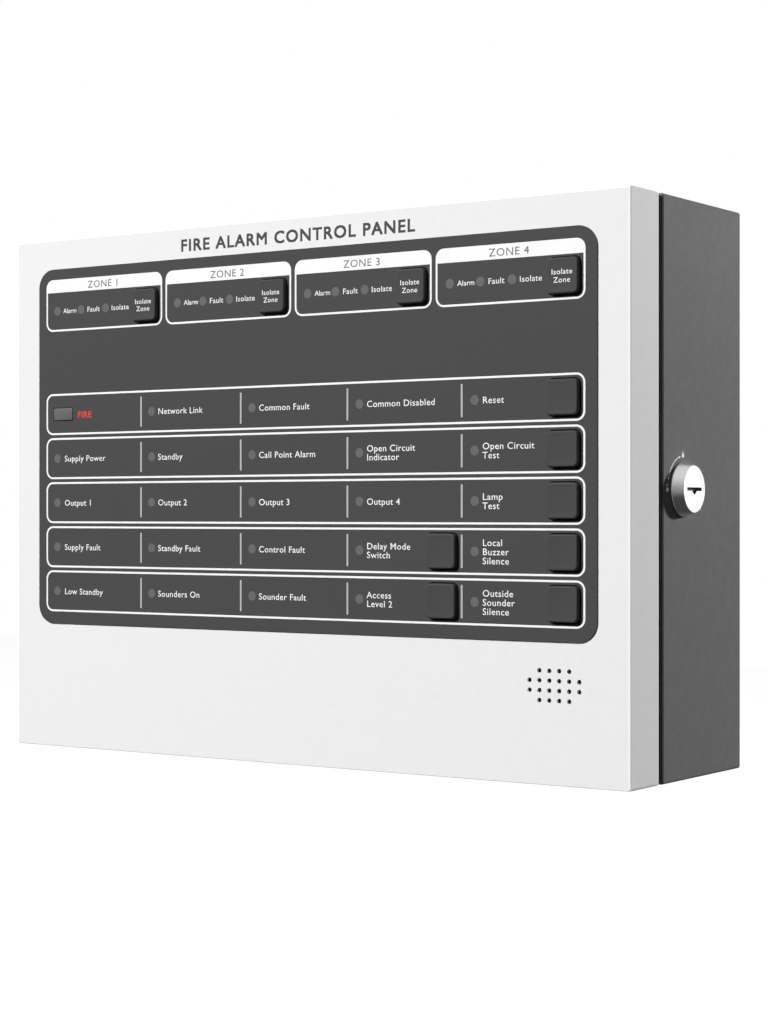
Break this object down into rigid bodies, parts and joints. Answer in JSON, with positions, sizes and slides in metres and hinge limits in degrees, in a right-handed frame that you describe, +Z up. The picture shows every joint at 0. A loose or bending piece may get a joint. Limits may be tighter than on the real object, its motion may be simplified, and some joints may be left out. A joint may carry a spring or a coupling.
{
  "type": "fire alarm control panel",
  "caption": "Wall-mounted fire alarm control panel: grey steel back box, hinged white door with indicator rows and push keys, side cam lock, boards, power supply and batteries inside.",
  "frame": {"origin": "centre of the back box's rear face, on the wall", "axes": "+X to the right across the front, +Y from the front to the wall, +Z up"},
  "size_m": [0.3924, 0.1182, 0.278],
  "materials": {
    "white_paint": "satin powder coat",
    "grey_paint": "satin powder coat",
    "overlay_film": "fine matte film",
    "key_rubber": "matte",
    "seal_rubber": "matte",
    "lens": "translucent, unlit",
    "steel": "zinc plated",
    "chrome": "satin chrome",
    "board": "green solder mask",
    "terminal_plastic": "moulded",
    "black_plastic": "moulded",
    "battery_case": "moulded",
    "aluminium": "pressed sheet",
    "nylon": "natural nylon",
    "red_wire": "insulation",
    "black_wire": "insulation",
    "green_wire": "insulation",
    "grey_ribbon": "insulation"
  },
  "bodies": {
    "cabinet": {"back_box": "grey_paint", "door_seal": "seal_rubber", "cable_grommet_left": "seal_rubber", "cable_grommet_right": "seal_rubber", "earth_nut_box": "steel", "hinge_leaf_box_upper": "steel", "hinge_leaf_box_lower": "steel", "hinge_pin_upper": "steel", "hinge_pin_lower": "steel", "lock_body": "chrome", "lock_nut": "steel", "main_board": "board", "main_board_standoff_1": "nylon", "main_board_standoff_2": "nylon", "main_board_standoff_3": "nylon", "main_board_standoff_4": "nylon", "terminal_strip_zones": "terminal_plastic", "terminal_strip_outputs": "terminal_plastic", "power_supply_case": "aluminium", "power_supply_board": "board", "mains_terminal_block": "black_plastic", "battery_left": "battery_case", "battery_right": "battery_case", "battery_bracket": "steel", "bracket_screw_left": "steel", "bracket_screw_right": "steel", "battery_link_lead": "black_wire", "battery_lead_red": "red_wire", "battery_lead_black": "black_wire", "supply_lead": "red_wire", "mains_lead": "black_wire", "ribbon_cable": "grey_ribbon", "door_earth_lead": "green_wire"},
    "door": {"door_panel": "white_paint", "front_overlay": "overlay_film", "fire_lens": "lens", "display_board": "board", "display_board_nut_1": "steel", "display_board_nut_2": "steel", "display_board_nut_3": "steel", "display_board_nut_4": "steel", "buzzer": "black_plastic", "door_catch": "steel", "earth_nut_door": "steel", "hinge_leaf_door_upper": "steel", "hinge_leaf_door_lower": "steel"},
    "lock": {"lock_plug": "chrome", "lock_cam": "steel", "cam_screw": "steel"},
    "key_zone_1_disable_body": {"key_zone_1_disable": "key_rubber"},
    "key_zone_2_disable_body": {"key_zone_2_disable": "key_rubber"},
    "key_zone_3_disable_body": {"key_zone_3_disable": "key_rubber"},
    "key_zone_4_disable_body": {"key_zone_4_disable": "key_rubber"},
    "key_reset_body": {"key_reset": "key_rubber"},
    "key_disconnection_test_body": {"key_disconnection_test": "key_rubber"},
    "key_alarm_test_body": {"key_alarm_test": "key_rubber"},
    "key_buzzer_silence_body": {"key_buzzer_silence": "key_rubber"},
    "key_sounder_silence_body": {"key_sounder_silence": "key_rubber"},
    "key_delay_body": {"key_delay": "key_rubber"},
    "key_access_body": {"key_access": "key_rubber"}
  },
  "joints": [
    {"name": "door_hinge", "type": "hinge", "parent": "cabinet", "child": "door", "pos_m": [-0.1933, -0.08515, 0], "axis": [0, 0, -1], "range_deg": [0, 110], "deforming": ["ribbon_cable", "door_earth_lead"]},
    {"name": "lock_turn", "type": "hinge", "parent": "cabinet", "child": "lock", "pos_m": [0.18, -0.063, 0], "axis": [-1, 0, 0], "range_deg": [0, 90]},
    {"name": "key_zone_1_disable_press", "type": "slide", "parent": "door", "child": "key_zone_1_disable_body", "axis": [0, 1, 0], "range_m": [0, 0.0012], "stiffness_N_per_m": 1500, "springref_m": -0.0003},
    {"name": "key_zone_2_disable_press", "type": "slide", "parent": "door", "child": "key_zone_2_disable_body", "axis": [0, 1, 0], "range_m": [0, 0.0012], "stiffness_N_per_m": 1500, "springref_m": -0.0003},
    {"name": "key_zone_3_disable_press", "type": "slide", "parent": "door", "child": "key_zone_3_disable_body", "axis": [0, 1, 0], "range_m": [0, 0.0012], "stiffness_N_per_m": 1500, "springref_m": -0.0003},
    {"name": "key_zone_4_disable_press", "type": "slide", "parent": "door", "child": "key_zone_4_disable_body", "axis": [0, 1, 0], "range_m": [0, 0.0012], "stiffness_N_per_m": 1500, "springref_m": -0.0003},
    {"name": "key_reset_press", "type": "slide", "parent": "door", "child": "key_reset_body", "axis": [0, 1, 0], "range_m": [0, 0.0012], "stiffness_N_per_m": 1500, "springref_m": -0.0003},
    {"name": "key_disconnection_test_press", "type": "slide", "parent": "door", "child": "key_disconnection_test_body", "axis": [0, 1, 0], "range_m": [0, 0.0012], "stiffness_N_per_m": 1500, "springref_m": -0.0003},
    {"name": "key_alarm_test_press", "type": "slide", "parent": "door", "child": "key_alarm_test_body", "axis": [0, 1, 0], "range_m": [0, 0.0012], "stiffness_N_per_m": 1500, "springref_m": -0.0003},
    {"name": "key_buzzer_silence_press", "type": "slide", "parent": "door", "child": "key_buzzer_silence_body", "axis": [0, 1, 0], "range_m": [0, 0.0012], "stiffness_N_per_m": 1500, "springref_m": -0.0003},
    {"name": "key_sounder_silence_press", "type": "slide", "parent": "door", "child": "key_sounder_silence_body", "axis": [0, 1, 0], "range_m": [0, 0.0012], "stiffness_N_per_m": 1500, "springref_m": -0.0003},
    {"name": "key_delay_press", "type": "slide", "parent": "door", "child": "key_delay_body", "axis": [0, 1, 0], "range_m": [0, 0.0012], "stiffness_N_per_m": 1500, "springref_m": -0.0003},
    {"name": "key_access_press", "type": "slide", "parent": "door", "child": "key_access_body", "axis": [0, 1, 0], "range_m": [0, 0.0012], "stiffness_N_per_m": 1500, "springref_m": -0.0003}
  ]
}
